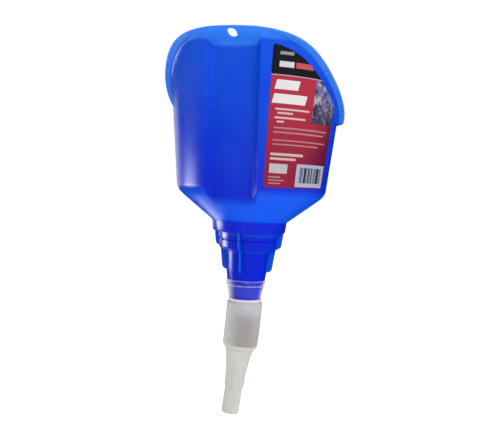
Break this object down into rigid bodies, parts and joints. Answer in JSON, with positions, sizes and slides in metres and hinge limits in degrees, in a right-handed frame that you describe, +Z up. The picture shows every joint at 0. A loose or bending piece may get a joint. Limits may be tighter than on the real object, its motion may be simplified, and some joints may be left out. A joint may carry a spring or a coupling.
{
  "type": "flexible-spout funnel",
  "caption": "Round pouring funnel with a high flanged back, a grip recess with a hanging slot, a stepped finned neck and a soft folded spout with a tapered nozzle.",
  "frame": {"origin": "on the neck axis, where the bowl's cone meets the neck", "axes": "+Z up along the neck axis; -Y towards the high back with the grip recess; +X completes the frame, on the label's side"},
  "size_m": [0.1552, 0.1595, 0.3249],
  "materials": {
    "body_blue": "satin moulded polyethylene, saturated blue",
    "spout_white": "translucent milky soft polyethylene",
    "label_print": "smooth printed film in red and black with plain blocks"
  },
  "bodies": {
    "funnel": {"bowl": "body_blue", "rim": "body_blue", "neck": "body_blue", "neck_fins": "body_blue", "label": "label_print", "spout_collar": "spout_white"},
    "fold_01": {"fold_01": "spout_white"},
    "fold_02": {"fold_02": "spout_white"},
    "fold_03": {"fold_03": "spout_white"},
    "fold_04": {"fold_04": "spout_white"},
    "fold_05": {"fold_05": "spout_white"},
    "fold_06": {"fold_06": "spout_white"},
    "fold_07": {"fold_07": "spout_white"},
    "fold_08": {"fold_08": "spout_white"},
    "fold_09": {"fold_09": "spout_white"},
    "fold_10": {"fold_10": "spout_white"},
    "fold_11": {"fold_11": "spout_white"},
    "fold_12": {"fold_12": "spout_white"},
    "nozzle": {"nozzle": "spout_white"}
  },
  "joints": [
    {"name": "spout_bend_front", "type": "hinge", "parent": "funnel", "child": "fold_01", "pos_m": [0, 0, -0.0737], "axis": [1, 0, 0], "range_deg": [-4.5, 4.5]},
    {"name": "spout_bend_side", "type": "hinge", "parent": "fold_01", "child": "fold_02", "pos_m": [-0.00011, 0, -0.07653], "axis": [0, 1, 0], "range_deg": [-4.5, 4.5]},
    {"name": "spout_extend", "type": "slide", "parent": "fold_02", "child": "fold_03", "axis": [-0.0435, 0, -0.9991], "range_m": [0, 0.008]},
    {"name": "spout_bend_front_2", "type": "hinge", "parent": "fold_03", "child": "fold_04", "pos_m": [-0.00035, 0, -0.08218], "axis": [1, 0, 0], "range_deg": [-4.5, 4.5]},
    {"name": "spout_bend_side_2", "type": "hinge", "parent": "fold_04", "child": "fold_05", "pos_m": [-0.00049, 0, -0.08501], "axis": [0, 1, 0], "range_deg": [-4.5, 4.5]},
    {"name": "spout_bend_front_3", "type": "hinge", "parent": "fold_05", "child": "fold_06", "pos_m": [-0.00065, 0, -0.08783], "axis": [1, 0, 0], "range_deg": [-4.5, 4.5]},
    {"name": "spout_bend_side_3", "type": "hinge", "parent": "fold_06", "child": "fold_07", "pos_m": [-0.00081, 0, -0.09066], "axis": [0, 1, 0], "range_deg": [-4.5, 4.5]},
    {"name": "spout_extend_2", "type": "slide", "parent": "fold_07", "child": "fold_08", "axis": [-0.0649, 0, -0.9979], "range_m": [0, 0.008]},
    {"name": "spout_bend_front_4", "type": "hinge", "parent": "fold_08", "child": "fold_09", "pos_m": [-0.00118, 0, -0.09631], "axis": [1, 0, 0], "range_deg": [-4.5, 4.5]},
    {"name": "spout_bend_side_4", "type": "hinge", "parent": "fold_09", "child": "fold_10", "pos_m": [-0.00138, 0, -0.09913], "axis": [0, 1, 0], "range_deg": [-4.5, 4.5]},
    {"name": "spout_extend_3", "type": "slide", "parent": "fold_10", "child": "fold_11", "axis": [-0.0778, 0, -0.997], "range_m": [0, 0.008]},
    {"name": "spout_bend_front_5", "type": "hinge", "parent": "fold_11", "child": "fold_12", "pos_m": [-0.00182, 0, -0.10477], "axis": [1, 0, 0], "range_deg": [-4.5, 4.5]},
    {"name": "spout_bend_side_5", "type": "hinge", "parent": "fold_12", "child": "nozzle", "pos_m": [-0.00206, 0, -0.10759], "axis": [0, 1, 0], "range_deg": [-4.5, 4.5]}
  ],
  "couplings": [
    {"joint": "spout_bend_front_2", "follows": "spout_bend_front", "ratio": 1},
    {"joint": "spout_bend_side_2", "follows": "spout_bend_side", "ratio": 1},
    {"joint": "spout_bend_front_3", "follows": "spout_bend_front", "ratio": 1},
    {"joint": "spout_bend_side_3", "follows": "spout_bend_side", "ratio": 1},
    {"joint": "spout_extend_2", "follows": "spout_extend", "ratio": 1},
    {"joint": "spout_bend_front_4", "follows": "spout_bend_front", "ratio": 1},
    {"joint": "spout_bend_side_4", "follows": "spout_bend_side", "ratio": 1},
    {"joint": "spout_extend_3", "follows": "spout_extend", "ratio": 1},
    {"joint": "spout_bend_front_5", "follows": "spout_bend_front", "ratio": 1},
    {"joint": "spout_bend_side_5", "follows": "spout_bend_side", "ratio": 1}
  ]
}
